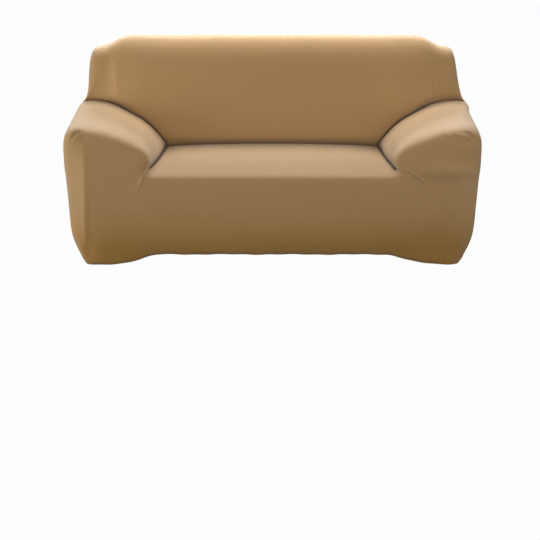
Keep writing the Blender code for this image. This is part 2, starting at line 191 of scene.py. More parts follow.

# Soft ridges (up) and troughs (down): what, a path, its height and its half width.
FOLDS = (
    ("left arm's outer corner, ridge",
     ((-0.793, -0.385, 0.628), (-0.821, -0.410, 0.614), (-0.829, -0.421, 0.597)), 0.0045, 0.006),
    ("left arm's outer corner, trough above it",
     ((-0.804, -0.384, 0.626), (-0.826, -0.405, 0.611), (-0.834, -0.416, 0.600)), -0.0030, 0.005),
    ("left arm's outer corner, deep trough",
     ((-0.788, -0.410, 0.622), (-0.808, -0.419, 0.611), (-0.823, -0.424, 0.592)), -0.0065, 0.007),
    ("left arm's outer corner, second ridge",
     ((-0.790, -0.420, 0.610), (-0.806, -0.424, 0.600), (-0.815, -0.426, 0.588)), 0.0025, 0.006),
    ("left arm's outer corner, third trough",
     ((-0.785, -0.425, 0.604), (-0.800, -0.426, 0.596)), -0.0030, 0.006),
    ("left arm's face, short trough",
     ((-0.764, -0.426, 0.606), (-0.781, -0.429, 0.595)), -0.0045, 0.006),
    ("left arm's face, lower short trough",
     ((-0.760, -0.429, 0.599), (-0.779, -0.432, 0.584)), -0.0045, 0.006),
    ("left arm's face, upright ridge at the corner",
     ((-0.768, -0.437, 0.570), (-0.776, -0.436, 0.340), (-0.786, -0.422, 0.160), (-0.792, -0.405, 0.100)),
     0.0050, 0.014),
    ("left arm's face, soft slope beside that ridge",
     ((-0.772, -0.437, 0.570), (-0.780, -0.436, 0.340), (-0.790, -0.422, 0.160)), 0.0060, 0.04),
    ("right arm's outer corner, deep trough",
     ((0.788, -0.409, 0.623), (0.812, -0.417, 0.612), (0.825, -0.422, 0.598), (0.822, -0.427, 0.583)),
     -0.0085, 0.007),
    ("right arm's outer corner, ridge",
     ((0.798, -0.400, 0.625), (0.816, -0.408, 0.615), (0.829, -0.414, 0.605)), 0.0057, 0.0057),
    ("right arm's outer corner, upper trough",
     ((0.806, -0.384, 0.625), (0.825, -0.394, 0.615), (0.834, -0.402, 0.607)), -0.0042, 0.0046),
    ("right arm's outer corner, lower ridge",
     ((0.796, -0.424, 0.605), (0.808, -0.427, 0.592)), 0.0047, 0.0057),
    ("right arm's front edge, ridge",
     ((0.756, -0.422, 0.613), (0.788, -0.425, 0.605)), 0.0057, 0.008),
    ("right arm's front edge, trough",
     ((0.736, -0.422, 0.611), (0.764, -0.427, 0.599)), -0.0047, 0.0069),
    ("right arm's front edge, soft trough",
     ((0.692, -0.414, 0.612), (0.728, -0.430, 0.596)), -0.0057, 0.0092),
    ("right arm's front edge, soft ridge",
     ((0.715, -0.418, 0.612), (0.742, -0.429, 0.600)), 0.0038, 0.0092),
    ("right arm's face, level ridge",
     ((0.590, -0.445, 0.463), (0.700, -0.445, 0.464), (0.840, -0.412, 0.458)), 0.0110, 0.03),
    ("left seat corner, pulled ridge",
     ((-0.521, -0.404, 0.468), (-0.527, -0.426, 0.447), (-0.537, -0.441, 0.433), (-0.542, -0.445, 0.413),
      (-0.554, -0.446, 0.394)), 0.0080, 0.007),
    ("left seat corner, outer trough",
     ((-0.527, -0.420, 0.468), (-0.535, -0.432, 0.454), (-0.545, -0.441, 0.440)), -0.0040, 0.005),
    ("left seat corner, inner trough",
     ((-0.517, -0.400, 0.446), (-0.523, -0.434, 0.436), (-0.531, -0.443, 0.420)), -0.0045, 0.005),
    ("left arm's inner side, pleat",
     ((-0.512, -0.420, 0.500), (-0.510, -0.330, 0.458)), 0.0025, 0.006),
    ("right seat corner, pulled ridge",
     ((0.544, -0.436, 0.470), (0.568, -0.443, 0.460), (0.590, -0.445, 0.445), (0.620, -0.445, 0.420)),
     0.0075, 0.006),
    ("right seat corner, trough under that ridge",
     ((0.548, -0.439, 0.459), (0.574, -0.444, 0.448), (0.596, -0.445, 0.433), (0.622, -0.445, 0.410)),
     -0.0067, 0.005),
    ("right seat corner, first pleat",
     ((0.530, -0.428, 0.457), (0.552, -0.441, 0.443)), -0.0045, 0.004),
    ("right seat corner, ridge between the pleats",
     ((0.532, -0.431, 0.449), (0.552, -0.442, 0.436)), 0.0037, 0.004),
    ("right seat corner, second pleat",
     ((0.529, -0.433, 0.442), (0.550, -0.443, 0.428)), -0.0045, 0.004),
    ("right seat corner, third pleat",
     ((0.524, -0.437, 0.434), (0.548, -0.445, 0.412)), -0.0042, 0.004),
    ("left wing, ridge",
     ((-0.712, 0.300, 0.816), (-0.702, 0.245, 0.735), (-0.698, 0.222, 0.650), (-0.706, 0.218, 0.590)),
     0.0060, 0.016),
    ("left wing, trough beside the ridge",
     ((-0.660, 0.262, 0.790), (-0.650, 0.235, 0.720), (-0.645, 0.210, 0.620)), -0.0050, 0.03),
    ("left wing, notch at its foot",
     ((-0.716, 0.222, 0.588), (-0.706, 0.216, 0.574)), -0.0100, 0.008),
    ("right wing, ridge",
     ((0.722, 0.240, 0.730), (0.716, 0.221, 0.645), (0.704, 0.213, 0.590)), 0.0060, 0.014),
    ("right wing, trough beside the ridge",
     ((0.684, 0.240, 0.740), (0.668, 0.220, 0.660), (0.655, 0.208, 0.600)), -0.0040, 0.028),
    ("right wing, notch at its foot",
     ((0.704, 0.212, 0.594), (0.692, 0.206, 0.580)), -0.0100, 0.008),
    ("left front hem, pucker",
     ((-0.812, -0.378, 0.045), (-0.838, -0.380, 0.105), (-0.850, -0.388, 0.165)), -0.0050, 0.012),
    ("left front hem, ridge beside the pucker",
     ((-0.790, -0.388, 0.045), (-0.806, -0.402, 0.110), (-0.815, -0.412, 0.180)), 0.0040, 0.014),
    ("right front hem, pucker",
     ((0.800, -0.378, 0.050), (0.828, -0.386, 0.115), (0.842, -0.398, 0.175)), -0.0055, 0.013),
    ("right front hem, ridge beside the pucker",
     ((0.770, -0.390, 0.055), (0.790, -0.400, 0.110), (0.800, -0.414, 0.190)), 0.0035, 0.014),
)

FOLD_REACH = 3.0         # how many half widths from its path a fold is worked out
FOLD_ENDS = 0.08         # share of a half wave that is left off at each end of a fold, as it fades out
FOLD_FADE = 0.7          # how soon a fold reaches its full height, lower for sooner

# The hem curls under: how far, and how far up from the edge it starts. Waves round the hem make that uneven.
HEM_CURL = 0.006
HEM_CURL_REACH = 0.010
HEM_SIDE_RATE = 0.7      # how fast the waves run along the sides, as a share of along the front
HEM_WAVES = (
    # share, turn for each metre in radians, start
    (0.25, 23.0, 0.0),
    (0.20, 61.0, 1.0),
)

CLOTH_MAP = "cloth"
# Point attribute that holds how much painted shade each point gets in a crease.
CREASE_SHADE_ATTRIBUTE = "tuck_depth"

# The knit: how uneven its tone is at most, its clouds of tone, its gloss and the depth of its loops.
TONE_RANGE = 0.2
CLOUD_SCALE = 5.0
CLOUD_DETAIL = 3.0
GLOSS = 0.2
LOOP_DEPTH = 0.0004
HEM_SHADE_HEIGHTS = (0.04, 0.36)  # above the floor, between which painted shade deepens the colour towards the hem

FLOOR_Z = -0.86433       # the floor under the hem
FLOOR_WIDTH = 60.0
CAMERA_PLACE = (0.0, -6.21486, 1.23567)
CAMERA_LENS = 91.45      # mm, on a sensor 36 mm wide
CAMERA_PITCH = 20.96     # degrees below the horizon
CAMERA_TURN = 0.105      # degrees to the left
CAMERA_REACH = 200.0

# Soft lights: the setting that holds the power, size, place and the point that the light faces.
LIGHTS = (
    ("over_back_light",  (2.2, 0.5), (0.0, 0.6, 1.0), (0.0, 0.35, 0.0)),
    ("top_light",        (2.4, 0.8), (0.0, 0.2, 1.5), (0.0, 0.2, 0.0)),
    ("rear_light",       (3.0, 1.0), (0.0, 3.0, 1.2), (0.0, 0.0, -0.2)),
    ("high_rear_light",  (3.0, 1.2), (0.0, 1.6, 2.2), (0.0, 0.0, -0.2)),
    ("front_light",      (3.0, 1.5), (0.0, -5.2, 1.2), (0.0, -0.4, -0.4)),
    ("left_front_light", (1.4, 1.6), (-3.0, -4.0, 0.8), (0.0, -0.4, -0.4)),
    ("left_light",       (1.2, 1.6), (-3.2, -0.8, -0.5), (-0.8, -0.4, -0.5)),
    ("right_light",      (1.2, 1.6), (3.2, -1.2, 0.4), (0.6, -0.4, -0.4)),
)

POINTS_AT_ONCE = 4000    # how many points are compared with a line in one step
SKIN = {}                # the finished skin, once it has been worked out


def mix(first, second, share):
    return first + (second - first) * share


def arm_point(column, row, line):
    """Half width and height of a point on an arm's outline, at one line from the front to the back."""
    back_y = CREASE_Y - LIP
    share = min(max((line_y(line) - FRONT_Y) / (back_y - FRONT_Y), 0.0), 1.0)
    if row == ARM_TOP:
        back_x, back_z, front_x, front_z = ARM_TOPS[column]
        return mix(front_x, back_x, share), mix(front_z, back_z, share)
    back_x, back_z, front_x, front_z = ARM_INNER[row]
    inner_x, inner_z = mix(front_x, back_x, 1.0 - (1.0 - share) ** 2), mix(front_z, back_z, share)
    outer_x = HALF_WIDTH
    outer_z = ARM_OUTER.get(row, SEAT_HEIGHT)
    across = (1.0 - SKIRT_SHARES[column]) / (1.0 - SKIRT_SHARES[CREASE])
    return mix(outer_x, inner_x, across), mix(outer_z, inner_z, across)


def line_y(line):
    """Distance from the middle of the cover's depth of a line of the seat or the arms."""
    if line in DEPTHS:
        return FRONT_Y + DEPTHS[line]
    return CREASE_Y - (LIP if line == BACK_LIP else 0.0)


def seat_height(line, share):
    """Height of the seat, which sinks to the back and is crowned between the arms."""
    depth = (line_y(line) - FRONT_Y) / (CREASE_Y - FRONT_Y)
    height = SEAT_HEIGHT - SEAT_SINK * depth + CROWN * (1.0 - share**2) * min(depth / CROWN_START, 1.0)
    return height - (NOSE_DROP if line == NOSE else 0.0)


def back_y(height):
    return CREASE_Y + RECLINE * (height - (SEAT_HEIGHT - SEAT_SINK))


def skirt_point(column, line, row):
    """A point of the skirt, or of the rear up to the seat's height."""
    height, sides, front, rear = SKIRT_ROWS[row]
    if row == HEM:
        height -= HEM_DROP[column] * HEM_DROP_LEFT[line]
    x = (HALF_WIDTH - sides) * SKIRT_SHARES[column]
    if line < BACK_FACE:
        y = FRONT_Y + front if line == FRONT else line_y(line)
    else:
        y = {BACK_FACE: CREASE_Y + BEHIND_CREASE, RIDGE: REAR_Y - RIDGE_IN, REAR: REAR_Y - rear}[line]
    return x, y, height


def back_point(column, line, row):
    """A point of the back above the arms, from its front face over the top to the rear."""
    middle, end, width, recess = BACK_ROWS[row]
    height = mix(middle, end, DROP_SHARES[column])
    x = width * BACK_SHARES[column]
    if row == WING_LIP and line == BACK_FACE and column <= INNER_LIP:
        arm_x, arm_height = arm_point(min(column, CREASE), ARM_TOP, BACK_LIP)
        x = arm_x if column else width
        height = arm_height + LIP
        if column == INNER_LIP:
            x, height = arm_x - LIP * LIP_CORNER[0], arm_height + LIP * LIP_CORNER[1]
    face_y = back_y(height) + recess * RECESS_SHARES[column] - CROWN * (1.0 - BACK_SHARES[column] ** 2)
    y = {BACK_FACE: face_y, RIDGE: mix(face_y, REAR_Y, RIDGE_SHARE), REAR: REAR_Y}[line]
    if row == BACK_TOP:
        height -= {BACK_FACE: FACE_DROP, RIDGE: 0.0, REAR: REAR_DROP}[line]
        y += FACE_LEAN if line == BACK_FACE else 0.0
    return x, y, height


def rear_point(column, line, row):
    """A point of the rear or of the side behind the arm, between the seat's height and the arm's top."""
    height = arm_point(EDGE, row, BACK_LIP)[1] if row == ARM_TOP else ARM_OUTER[row]
    _, wing_height, wing_width, _ = BACK_ROWS[WING_LIP]
    width = mix(HALF_WIDTH, wing_width, (height - SEAT_HEIGHT) / (wing_height - SEAT_HEIGHT))
    x = width * (SKIRT_SHARES[column] + BACK_SHARES[column]) / 2.0
    return x, REAR_Y if line == REAR else REAR_Y - RIDGE_IN, height


def block_point(column, line, row):
    """Where a point of the block lies, on the right-hand half, before the creases are pushed in."""
    if row < SEAT or (row == SEAT and (line in (FRONT, REAR, RIDGE) or column == EDGE)):
        x, y, z = skirt_point(column, line, row)
        if column == EDGE and line == FRONT and row > HEM:
            return x - CORNER_CUT[0], y + CORNER_CUT[1], z
        if row == SEAT and column == EDGE and line < RIDGE:
            y = line_y(line) if line else y
        return x, y, z
    if row >= WING_LIP:
        return back_point(column, line, row)
    if line > BACK_FACE:
        return rear_point(column, line, row)
    if column > CREASE:
        crease_x, crease_z = arm_point(CREASE, row, line)
        lips = {INNER_LIP: crease_x - LIP, QUARTER: HALF_WIDTH * SKIRT_SHARES[QUARTER], MIDDLE: 0.0}
        x = lips[column]
        if row == SEAT:
            return x, line_y(line), seat_height(line, x / crease_x)
        return x, back_y(crease_z) - CROWN * (1.0 - x / crease_x), crease_z
    x, z = arm_point(column, row, line)
    if line == FRONT and row == ARM_TOP:
        return x, FRONT_Y + NOSE_CUT[0], z - NOSE_CUT[1]
    if line == FRONT and column == EDGE:
        return x - CORNER_CUT[0], FRONT_Y + CORNER_CUT[1], z
    if line < BACK_LIP:
        return x, line_y(line), z
    recess = BACK_ROWS[WING_LIP][3] * RECESS_SHARES[column]
    return x, back_y(z) + recess - (LIP if line == BACK_LIP else 0.0), z


def tuck_of(column, line, row):
    """How a crease's point is pushed in, as shares of the tuck along x, y and z, on the right-hand half."""
    if line == BACK_FACE and row == SEAT and column >= CREASE:
        return SEAT_TO_BACK if column > CREASE else SEAT_CORNER
    if line == BACK_FACE and column == CREASE and SEAT < row <= ARM_TOP:
        return ARM_TO_BACK
    if line == BACK_FACE and row == ARM_TOP and EDGE < column < CREASE:
        return ARM_TOP_TO_BACK
    if column == CREASE and row == SEAT and FORWARD <= line < BACK_FACE:
        return SEAT_TO_ARM
    return NO_CREASE


def place(i, j, k):
    """Where point (i, j, k) of the block lies."""
    column = min(i, COLUMNS - 1 - i)
    side = 1.0 if i > MIDDLE else -1.0
    point = np.array(block_point(column, j, k))
    point += TUCK * np.array(tuck_of(column, j, k))
    point[0] *= side
    return point


def in_block(i, j, k):
    """Whether a cell is inside the block: the base, the arms or the back."""
    if not (0 <= i < COLUMNS - 1 and 0 <= j < REAR and 0 <= k < BACK_TOP):
        return False
    in_arm = min(i, COLUMNS - 2 - i) < CREASE and k < ARM_TOP
    return k < SEAT or in_arm or j >= BACK_FACE


def panel_of(i, j, k, axis, step):
    """The panel that a face of the skin belongs to, from its cell and the way it faces."""
    side_panel = LEFT_PANEL if i < MIDDLE else RIGHT_PANEL
    if axis == 1:
        if step > 0:
            return REAR_PANEL
        return SEAT_PANEL if j == FRONT else BACK_PANEL
    if axis == 2:
        return {SEAT: SEAT_PANEL, ARM_TOP: side_panel}.get(k + 1, BACK_PANEL)
    return side_panel if k < ARM_TOP else BACK_PANEL


def cloth_map(key, point, panel):
    """Where a point of the block lies on its panel's cloth laid flat, in metres: across and along."""
    x, y, z = point
    column = min(key[0], COLUMNS - 1 - key[0])
    if panel == SEAT_PANEL:
        return x, z + y - FRONT_Y
    if panel == REAR_PANEL:
        return x, z
    if panel == BACK_PANEL:
        behind = y - back_y(z)
        across = x + (math.copysign(behind, x) if column == EDGE else 0.0)
        return across, z + (behind if key[2] == BACK_TOP else 0.0)
    fall = 0.0
    if column >= CREASE:
        fall = arm_point(CREASE, ARM_TOP, key[1])[1] - z
    return y, z + HALF_WIDTH - abs(x) + 2.0 * fall


def build_cage():
    """The skin of the block, open underneath, and the number of its point at the middle of the back's top.

    Each face has its panel as its material index, and its place on the flat cloth as its UV map.
    """
    cage = bmesh.new()
    cloth = cage.loops.layers.uv.new(CLOTH_MAP)
    points = {}
    for cell in np.ndindex(COLUMNS - 1, REAR, BACK_TOP):
        if not in_block(*cell):
            continue
        for axis in range(3):
            for step in (-1, 1):
                beside = list(cell)
                beside[axis] += step
                underneath = axis == 2 and step < 0
                if in_block(*beside) or underneath:
                    continue
                across, along = (axis + 1) % 3, (axis + 2) % 3
                keys = []
                for a, b in ((0, 0), (1, 0), (1, 1), (0, 1)):
                    corner = list(cell)
                    corner[axis] += step > 0
                    corner[across] += a
                    corner[along] += b
                    keys.append(tuple(corner))
                if step < 0:
                    keys.reverse()
                for key in keys:
                    if key not in points:
                        points[key] = cage.verts.new(place(*key))
                face = cage.faces.new([points[key] for key in keys])
                face.material_index = panel_of(*cell, axis, step)
                for key, loop in zip(keys, face.loops):
                    loop[cloth].uv = cloth_map(key, loop.vert.co, face.material_index)
    cage.verts.index_update()
    top = points[(MIDDLE, RIDGE, BACK_TOP)].index
    mesh = bpy.data.meshes.new("skin_cage")
    cage.to_mesh(mesh)
    cage.free()
    return mesh, top


def finer_near(mesh, places):
    """Splits the mesh's faces in four near each of the places, where narrow folds need more points."""
    skin = bmesh.new()
    skin.from_mesh(mesh)
    for centre, reach in places:
        centre = np.array(centre)
        edges = [edge for edge in skin.edges
                 if all(np.linalg.norm(np.array(end.co) - centre) < reach for end in edge.verts)]
        bmesh.ops.subdivide_edges(skin, edges=edges, cuts=1, use_grid_fill=True)
    skin.to_mesh(mesh)
    skin.free()


def array_of(items, attribute, width=1, kind=float):
    """One attribute of all of a mesh's items, a row for each item where it has more than one value."""
    values = np.zeros(len(items) * width, kind)
    items.foreach_get(attribute, values)
    return values.reshape(-1, width) if width > 1 else values


def fine_skin(levels):
    """The smoothed skin: its points, its triangles, and each triangle's panel and places on the flat cloth.

    Also the number of the point at the middle of the back's top.
    """
    cage, top = build_cage()
    guide = bpy.data.objects.new("skin_guide", cage)
    bpy.context.scene.collection.objects.link(guide)
    surface = guide.modifiers.new("smooth", "SUBSURF")
    surface.levels = surface.render_levels = levels
    bpy.context.view_layer.update()
    mesh = bpy.data.meshes.new_from_object(guide.evaluated_get(bpy.context.evaluated_depsgraph_get()))
    bpy.data.objects.remove(guide)
    finer_near(mesh, FINE_PLACES)
    mesh.calc_loop_triangles()
    points = array_of(mesh.vertices, "co", 3)
    triangles = array_of(mesh.loop_triangles, "vertices", 3, int)
    corners = array_of(mesh.loop_triangles, "loops", 3, int)
    owners = array_of(mesh.loop_triangles, "polygon_index", kind=int)
    panels = array_of(mesh.polygons, "material_index", kind=int)
    cloth = array_of(mesh.uv_layers[CLOTH_MAP].uv, "vector", 2)
    bpy.data.meshes.remove(mesh)
    return points, triangles, panels[owners], cloth[corners], top


def pushed(points):
    """The points after the soft pushes that make the cover sit unevenly."""
    for _, centre, reach, push in PUSHES:
        distance = np.linalg.norm(points - np.array(centre), axis=1)
        weight = np.exp(-((distance / reach) ** 2))
        points = points + weight[:, None] * np.array(push)
    return points


def normals_of(points, triangles):
    """Vertex normals of the whole skin, which neighbouring panels share along a seam."""
    corners = points[triangles]
    across = np.cross(corners[:, 1] - corners[:, 0], corners[:, 2] - corners[:, 0])
    normals = np.stack([
        sum(np.bincount(triangles[:, corner], across[:, axis], len(points)) for corner in range(3))
        for axis in range(3)
    ], axis=1)
    return normals / np.linalg.norm(normals, axis=1)[:, None]


def eased(value, start, end):
    """0 before start, 1 after end, and a smooth rise between them."""
    share = np.clip((value - start) / (end - start), 0.0, 1.0)
    return share * share * (3.0 - 2.0 * share)


def seam_points(triangles, panels, first, second):
    """The points that two panels share."""
    return np.intersect1d(triangles[panels == first], triangles[panels == second])


def near_box(points, line, reach):
    """The numbers of the points inside the line's box, made wider by reach all round."""
    above = points > line.min(axis=0) - reach
    below = points < line.max(axis=0) + reach
    return np.flatnonzero((above & below).all(axis=1))


def nearest_on(points, line):
    """For each point, how far the nearest point of the line is and which one it is."""
    distance = np.full(len(points), np.inf)
    nearest = np.zeros(len(points), int)
    for start in range(0, len(points), POINTS_AT_ONCE):
        batch = slice(start, start + POINTS_AT_ONCE)
        gaps = np.linalg.norm(points[batch, None] - line[None], axis=2)
        nearest[batch] = gaps.argmin(axis=1)
        distance[batch] = gaps.min(axis=1)
    return distance, nearest


def creased(points, triangles, panels, shape):
    """The points with the cloth pushed deeper into the seams that lie in the creases.

    Also how deep in a crease each point is, from 0 to 1, which sets how much painted shade the crease puts on
    it.
    """
    moved = points.copy()
    tuck = np.zeros(len(points))
    for _, first, second, towards, depth, width, (axis, start, end) in CREASES:
        line = points[seam_points(triangles, panels, first, second)]
        along = np.abs(line[:, axis]) if axis == ALONG_X else line[:, axis]
        strength = eased(along, start, end)
        kept = strength > LEAST_CREASE
        line, strength = line[kept], strength[kept]
        near = near_box(points, line, PUSH_REACH * width)
        distance, nearest = nearest_on(points[near], line)
        weight = depth * shape.crease_scale * strength[nearest] * np.exp(-((distance / width) ** 2))
        moved[near] += weight[:, None] * np.array(towards)
        # Painted shade in the crease: strongest on the seam, fading within the shade's reach.
        tone = strength[nearest] * np.exp(-((distance / TUCK_SHADE_REACH) ** 2))
        tuck[near] = np.maximum(tuck[near], tone)
    return moved, tuck


def along_path(points, path):
    """For each point, how far the path is, and at which share of its length it is nearest."""
    best = np.full(len(points), np.inf)
    along = np.zeros(len(points))
    steps = np.linalg.norm(np.diff(path, axis=0), axis=1)
    run = np.concatenate([[0.0], np.cumsum(steps)]) / steps.sum()
    for number, (start, end) in enumerate(zip(path[:-1], path[1:])):
        line = end - start
        share = np.clip((points - start) @ line / (line @ line), 0.0, 1.0)
        distance = np.linalg.norm(points - start - share[:, None] * line, axis=1)
        closer = distance < best
        best[closer] = distance[closer]
        along[closer] = mix(run[number], run[number + 1], share)[closer]
    return best, along


def folded(points, normals, shape):
    """The points after every soft ridge (up) and trough (down) of the fold table."""
    moved = points.copy()
    for name, path, height, width in FOLDS:
        path = np.array(path)
        near = near_box(points, path, FOLD_REACH * width)
        if not len(near):
            raise RuntimeError(name + " lies off the cover")
        distance, along = along_path(points[near], path)
        fade = np.sin(np.pi * mix(FOLD_ENDS, 1.0 - FOLD_ENDS, along)) ** FOLD_FADE
        weight = height * shape.fold_scale * fade * np.exp(-((distance / width) ** 2))
        moved[near] += weight[:, None] * normals[near]
    return moved


def hem_curled(points, triangles, shape):
    """The points with the cloth's lower edge curled under, a little more in some places than in others."""
    hem = points[np.unique(border_edges(triangles)[0])]
    near = np.flatnonzero(points[:, 2] < hem[:, 2].max() + PUSH_REACH * HEM_CURL_REACH)
    distance, nearest = nearest_on(points[near], hem)
    along = hem[nearest, 0] + HEM_SIDE_RATE * hem[nearest, 1]
    uneven = 1.0 + sum(share * np.sin(turn * along + start) for share, turn, start in HEM_WAVES)
    curl = HEM_CURL * shape.fold_scale * uneven * np.exp(-((distance / HEM_CURL_REACH) ** 2))
    moved = points.copy()
    moved[near] -= curl[:, None] * normals_of(points, triangles)[near]
    return moved


def work_out_skin(shape):
    """Works out the finished skin, once for all five panels."""
    if SKIN:
        return
    points, triangles, panels, cloth, top = fine_skin(shape.smoothing)
    points = pushed(points)
    origin = points[top] - np.array([0.0, 0.0, CLOTH])
    # tuck holds the painted crease shade of each point.
    points, tuck = creased(points, triangles, panels, shape)
    points = folded(points, normals_of(points, triangles), shape)
    points = hem_curled(points, triangles, shape)
    SKIN.update(points=points - origin, triangles=triangles, panels=panels, cloth=cloth, tuck=tuck,
                normals=normals_of(points, triangles))


def border_edges(triangles):
    """The edges that only one triangle has, in its order, and the triangle and corner where each starts."""
    edges = np.concatenate([triangles[:, [0, 1]], triangles[:, [1, 2]], triangles[:, [2, 0]]])
    numbers = np.arange(len(triangles))
    corners = np.concatenate([np.stack([numbers, np.full_like(numbers, a)], axis=1) for a in range(3)])
    size = triangles.max() + 1
    forward = edges[:, 0] * size + edges[:, 1]
    backward = edges[:, 1] * size + edges[:, 0]
    alone = ~np.isin(forward, backward)
    return edges[alone], corners[alone]


def drawn_in(points, normals, edges, distance):
    """The points with the border moved inwards along the surface, square to each border edge."""
    moved = points.copy()
    inwards = {}
    for start, end in edges:
        for vertex in (start, end):
            direction = np.cross(normals[vertex], points[end] - points[start])
            inwards.setdefault(vertex, []).append(direction / np.linalg.norm(direction))
    for vertex, directions in inwards.items():
        first, second = directions[0], directions[-1]
        moved[vertex] += distance * (first + second) / (1.0 + first @ second)
    return moved


def closed_sheet(name, panel):
    """The mesh of one panel: its outer side, its inner side and a wall round the border."""
    mine = SKIN["panels"] == panel
    triangles, cloth, normals = SKIN["triangles"][mine], SKIN["cloth"][mine], SKIN["normals"]
    edges, corners = border_edges(triangles)
    outside = drawn_in(SKIN["points"], normals, edges, SEAM_GAP / 2.0)
    inside = outside - CLOTH * normals
    used, index = np.unique(triangles, return_inverse=True)
    index = index.reshape(-1, 3)
    count = len(used)
    rank = np.zeros(len(outside), int)
    rank[used] = np.arange(count)
    first, last = rank[edges[:, 0]], rank[edges[:, 1]]
    faces = np.concatenate([
        index,
        index[:, ::-1] + count,
        np.stack([last, first, first + count], axis=1),
        np.stack([last, first + count, last + count], axis=1),
    ])
    start_map = cloth[corners[:, 0], corners[:, 1]]
    end_map = cloth[corners[:, 0], (corners[:, 1] + 1) % 3]
    maps = np.concatenate([
        cloth,
        cloth[:, ::-1],
        np.stack([end_map, start_map, start_map], axis=1),
        np.stack([end_map, start_map, end_map], axis=1),
    ])
    mesh = bpy.data.meshes.new(name)
    mesh.vertices.add(2 * count)
    mesh.vertices.foreach_set("co", np.concatenate([outside[used], inside[used]]).ravel())
    mesh.loops.add(3 * len(faces))
    mesh.loops.foreach_set("vertex_index", faces.ravel())
    mesh.polygons.add(len(faces))
    mesh.polygons.foreach_set("loop_start", np.arange(0, 3 * len(faces), 3))
    mesh.polygons.foreach_set("loop_total", np.full(len(faces), 3))
    mesh.uv_layers.new(name=CLOTH_MAP)
    mesh.uv_layers[CLOTH_MAP].uv.foreach_set("vector", maps.ravel())
    # The painted crease shade, on both sides of the cloth.
    mesh.attributes.new(CREASE_SHADE_ATTRIBUTE, "FLOAT", "POINT")
    mesh.attributes[CREASE_SHADE_ATTRIBUTE].data.foreach_set("value", np.tile(SKIN["tuck"][used], 2))
    mesh.update(calc_edges=True)
    mesh.validate()
    mesh.shade_smooth()
    both = np.concatenate([normals[used], -normals[used]])
    mesh.normals_split_custom_set_from_vertices(both.tolist())
    return mesh


def build_panel(name, settings):
    """One panel as a sheet of knit on its solid's folds, which takes the solid's place."""
    work_out_skin(settings.shape)
    mesh = closed_sheet(name + "_cloth", PANELS.index(name))
    mesh.materials.append(knit_material(settings.cloth))
    panel = bpy.data.objects.new(name + "_cloth", mesh)
    bpy.context.scene.collection.objects.link(panel)
    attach(panel, "root")
    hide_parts(name)


def math_node(tree, operation, first, second=None):
    """A math node fed by sockets or numbers; returns its output."""
    node = tree.nodes.new("ShaderNodeMath")
    node.operation = operation
    for number, value in enumerate((first, second)):
        if isinstance(value, (int, float)):
            node.inputs[number].default_value = value
        elif value is not None:
            tree.links.new(value, node.inputs[number])
    return node.outputs[0]


def knit_group():
    """Fine knit on the flat cloth's map: the height of its loops, and the tone of its soft check."""
    group = bpy.data.node_groups.new("fine_knit", "ShaderNodeTree")
    for name, into, kind in (
        ("Cloth Place", "INPUT", "NodeSocketVector"),
        ("Loop Pitch", "INPUT", "NodeSocketFloat"),
        ("Check Pitch", "INPUT", "NodeSocketFloat"),
        ("Height", "OUTPUT", "NodeSocketFloat"),
        ("Check", "OUTPUT", "NodeSocketFloat"),
    ):
        group.interface.new_socket(name=name, in_out=into, socket_type=kind)
    into = group.nodes.new("NodeGroupInput")
    out = group.nodes.new("NodeGroupOutput")
    parts = group.nodes.new("ShaderNodeSeparateXYZ")
    group.links.new(into.outputs["Cloth Place"], parts.inputs[0])
    for pitch, operation, result in (
        ("Loop Pitch", "MULTIPLY", "Height"),
        ("Check Pitch", "ADD", "Check"),
    ):
        waves = []
        for axis in (0, 1):
            turns = math_node(group, "DIVIDE", parts.outputs[axis], into.outputs[pitch])
            angle = math_node(group, "MULTIPLY", turns, 2.0 * math.pi)
            waves.append(math_node(group, "COSINE", angle))
        group.links.new(math_node(group, operation, *waves), out.inputs[result])
    return group


def colour_mix(tree, amount, first, second, blend="MIX"):
    """A colour mix by the amount, of sockets or plain colours; returns its result."""
    node = tree.nodes.new("ShaderNodeMix")
    node.data_type = "RGBA"
    node.blend_type = blend
    tree.links.new(amount, node.inputs["Factor"])
    for name, value in (("A", first), ("B", second)):
        if isinstance(value, bpy.types.NodeSocket):
            tree.links.new(value, node.inputs[name])
        else:
            node.inputs[name].default_value = (*value, 1.0)
    return node.outputs["Result"]


